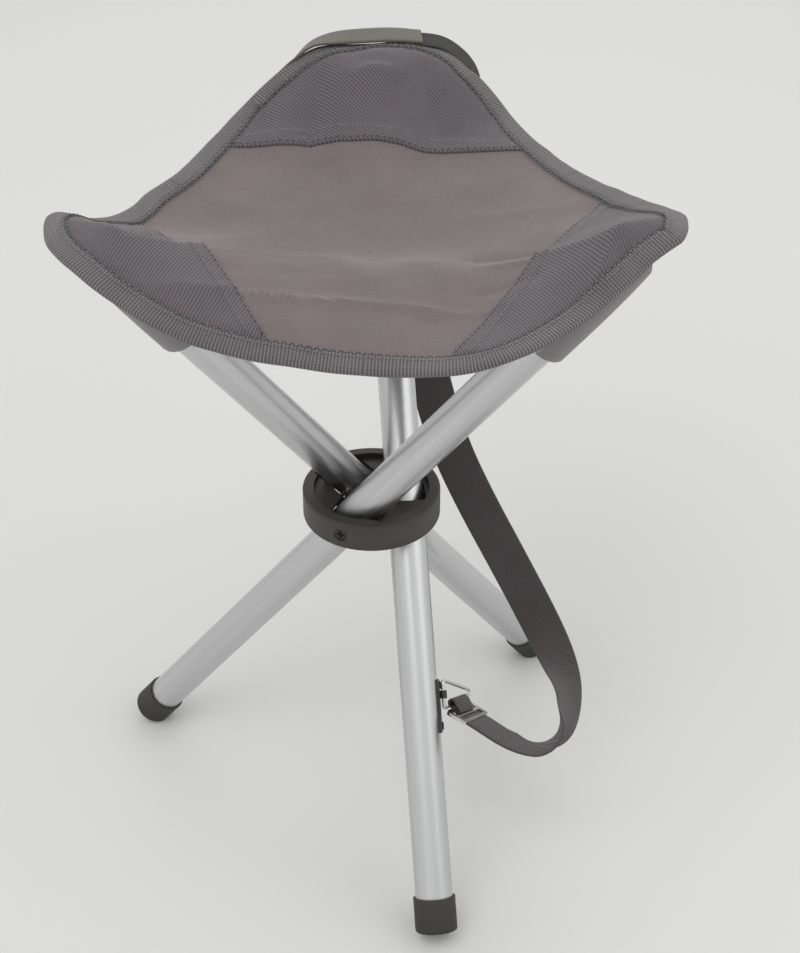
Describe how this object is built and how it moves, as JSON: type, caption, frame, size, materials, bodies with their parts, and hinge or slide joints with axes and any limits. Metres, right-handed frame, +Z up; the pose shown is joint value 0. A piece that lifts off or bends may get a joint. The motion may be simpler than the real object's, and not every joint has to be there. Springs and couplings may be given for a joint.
{
  "type": "folding three-leg camping stool",
  "caption": "Folding camp stool: tubular legs cross in a round hub and lean the same way, a hanging fabric seat joins their tops, and a carrying strap runs along one leg.",
  "frame": {"origin": "on the hub's axis, on the ground plane under the foot caps", "axes": "+Z up; +X outward along leg a's pivot screw; leg a's top end leans towards +Y and its foot towards -Y"},
  "size_m": [0.3285, 0.3506, 0.438],
  "materials": {
    "hub_plastic": "moulded satin, dark brown-black",
    "black_screw": "black, satin",
    "silver_tube": "silver powder coat, satin",
    "foot_plastic": "matte black",
    "seat_fabric": "plain coated polyester, warm grey-brown",
    "corner_fabric": "coarse twill polyester, grey",
    "binding_tape": "ribbed woven tape, charcoal",
    "tie_loop_tape": "brushed loop tape, olive grey",
    "tie_hook_tape": "hook tape, near black",
    "strap_webbing": "woven webbing, charcoal",
    "bright_wire": "bright nickel plate",
    "bracket_metal": "dark, satin"
  },
  "bodies": {
    "hub": {"hub_upper_half": "hub_plastic", "hub_lower_half": "hub_plastic", "pivot_screw_a": "black_screw", "pivot_screw_b": "black_screw", "pivot_screw_c": "black_screw", "hub_closing_screw_a": "black_screw", "hub_closing_screw_b": "black_screw", "hub_closing_screw_c": "black_screw", "seat_panel": "seat_fabric", "edge_binding_ac": "binding_tape", "edge_binding_cb": "binding_tape", "edge_binding_ba": "binding_tape"},
    "leg_a": {"leg_tube_a": "silver_tube", "foot_cap_a": "foot_plastic", "tube_plug_a": "foot_plastic", "corner_panel_a": "corner_fabric", "corner_pocket_a": "corner_fabric", "tie_strap_loop_side": "tie_loop_tape", "tie_strap_hook_side": "tie_hook_tape", "carry_strap": "strap_webbing", "strap_loop": "strap_webbing", "strap_slider": "bright_wire", "strap_ring": "bright_wire", "strap_bracket": "bracket_metal", "bracket_rivet_lower": "bracket_metal", "bracket_rivet_upper": "bracket_metal"},
    "leg_b": {"leg_tube_b": "silver_tube", "foot_cap_b": "foot_plastic", "tube_plug_b": "foot_plastic", "corner_panel_b": "corner_fabric", "corner_pocket_b": "corner_fabric"},
    "leg_c": {"leg_tube_c": "silver_tube", "foot_cap_c": "foot_plastic", "tube_plug_c": "foot_plastic", "corner_panel_c": "corner_fabric", "corner_pocket_c": "corner_fabric"}
  },
  "joints": [
    {"name": "fold_a", "type": "hinge", "parent": "hub", "child": "leg_a", "pos_m": [0.0196, -0.002, 0.2102], "axis": [1, 0, 0], "range_deg": [0, 36.9], "deforming": ["corner_panel_a", "corner_pocket_a", "seat_panel", "edge_binding_ac", "edge_binding_cb", "edge_binding_ba", "tie_strap_loop_side", "tie_strap_hook_side"]},
    {"name": "fold_b", "type": "hinge", "parent": "hub", "child": "leg_b", "pos_m": [-0.01153, -0.01597, 0.2102], "axis": [-0.5, -0.866, 0], "range_deg": [0, 36.9], "deforming": ["corner_panel_b", "corner_pocket_b"]},
    {"name": "fold_c", "type": "hinge", "parent": "hub", "child": "leg_c", "pos_m": [-0.00807, 0.01797, 0.2102], "axis": [-0.5, 0.866, 0], "range_deg": [0, 36.9], "deforming": ["corner_panel_c", "corner_pocket_c"]}
  ],
  "couplings": [
    {"joint": "fold_b", "follows": "fold_a", "ratio": 1},
    {"joint": "fold_c", "follows": "fold_a", "ratio": 1}
  ]
}
